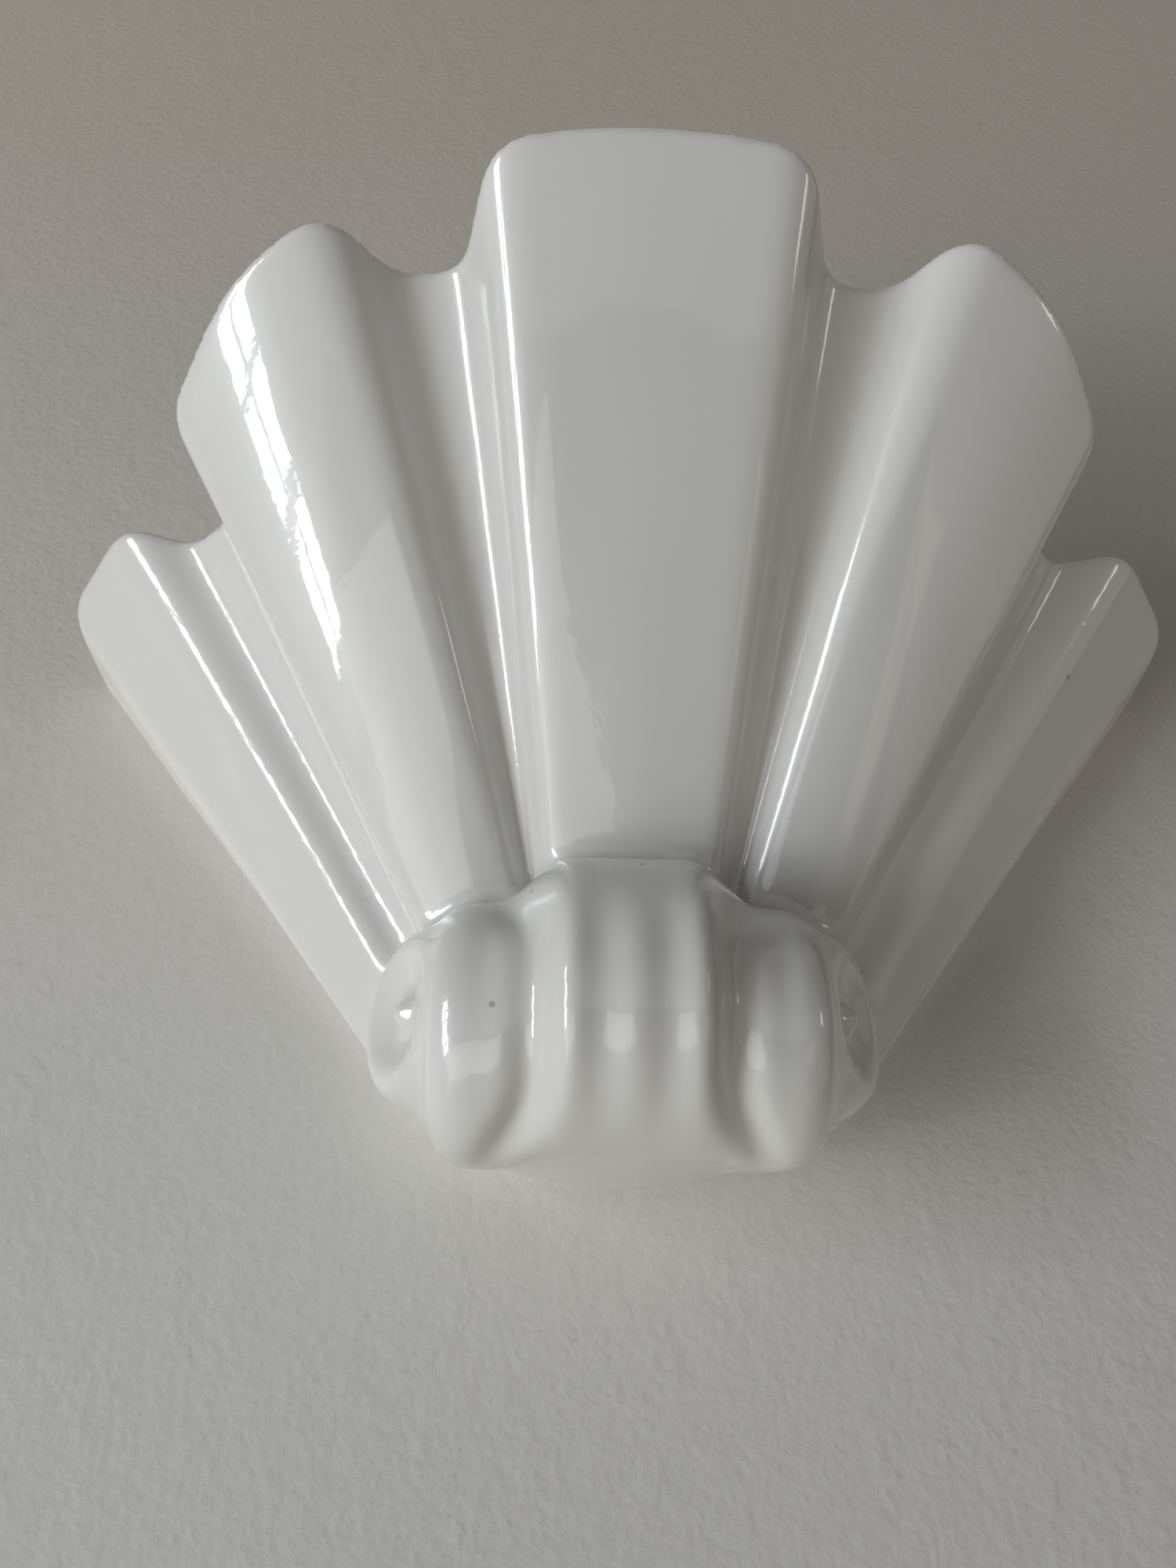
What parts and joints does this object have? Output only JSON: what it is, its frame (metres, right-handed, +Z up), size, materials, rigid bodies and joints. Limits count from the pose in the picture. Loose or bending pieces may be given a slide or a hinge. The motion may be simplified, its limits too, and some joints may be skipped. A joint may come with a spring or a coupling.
{
  "type": "shell wall sconce",
  "caption": "Wall uplighter: a glazed ceramic scallop shell with a scroll at its foot, hung on a steel bracket that carries a small screw lampholder and its lamp.",
  "frame": {"origin": "middle of the two wall slots, on the wall plane", "axes": "+X to the right as seen from the room, +Y into the wall, +Z up; the wall is the plane y = 0"},
  "size_m": [0.3106, 0.1386, 0.1993],
  "materials": {
    "glazed_ceramic": "glossy white glaze",
    "plated_steel": "zinc plated",
    "brass": "satin",
    "holder_moulding": "moulded black",
    "porcelain": "unglazed steatite",
    "block_plastic": "translucent white",
    "bush_rubber": "matte",
    "lead_brown": "satin",
    "lead_blue": "satin",
    "lead_earth": "satin",
    "lamp_glass": "opal",
    "lamp_metal": "nickel plated",
    "black_glass": "black",
    "clear_glass": "clear",
    "filament": "phosphor coated"
  },
  "bodies": {
    "bracket": {"wall_bracket": "plated_steel", "lamp_arm": "plated_steel", "arm_rivets": "lamp_metal", "hollow_nipple": "brass", "toothed_washer": "plated_steel", "nipple_nut": "brass", "holder_cap": "holder_moulding", "holder_skirt": "holder_moulding", "holder_core": "porcelain", "screw_sleeve": "brass", "centre_contact": "brass", "pinch_screws": "plated_steel", "terminal_block": "block_plastic", "terminal_tubes": "brass", "terminal_screws": "plated_steel", "block_screw": "plated_steel", "earth_ring_tag": "lamp_metal", "earth_screw": "brass", "cable_bush": "bush_rubber", "live_lead": "lead_brown", "neutral_lead": "lead_blue", "earth_lead": "lead_earth"},
    "shell": {"shell_body": "glazed_ceramic"},
    "lamp": {"lamp_contact": "lamp_metal", "lamp_insulator": "black_glass", "lamp_cap": "lamp_metal", "lamp_globe": "lamp_glass", "lamp_stem": "clear_glass", "lamp_filaments": "filament", "filament_support": "lamp_metal"}
  },
  "joints": [
    {"name": "shell_lift", "type": "slide", "parent": "bracket", "child": "shell", "axis": [0, 0, 1], "range_m": [0, 0.008]},
    {"name": "lamp_turn", "type": "hinge", "parent": "bracket", "child": "lamp", "pos_m": [0, -0.034, 0.03], "axis": [0, 0, 1], "range_deg": [0, 900]}
  ]
}
